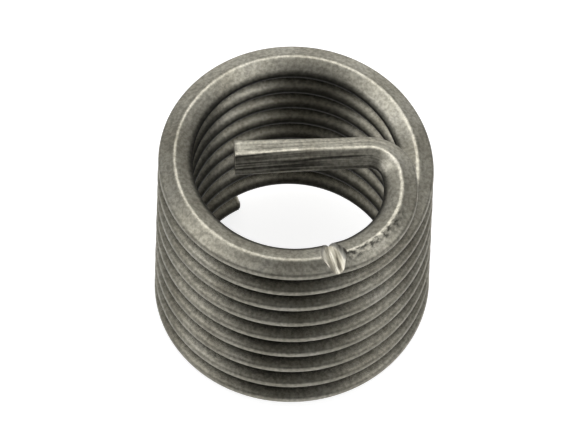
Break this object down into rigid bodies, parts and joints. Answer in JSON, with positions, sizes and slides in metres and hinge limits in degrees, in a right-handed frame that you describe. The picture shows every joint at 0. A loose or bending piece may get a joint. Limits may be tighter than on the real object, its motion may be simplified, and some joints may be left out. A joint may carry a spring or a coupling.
{
  "type": "helical thread insert",
  "caption": "Coil of rhombic steel wire that lines a tapped hole and takes a bolt, with a notched tang bent across its bore to drive it.",
  "frame": {"origin": "on the coil's axis, level with the lowest point of the wire's free end", "axes": "+Z along the coil's axis towards the tang, X roughly along the tang, -Y on the side of the break-off notch"},
  "size_m": [0.0148, 0.0148, 0.016],
  "materials": {
    "wire": "satin drawn wire"
  },
  "bodies": {
    "root": {"thread_insert": "wire"}
  },
  "joints": []
}
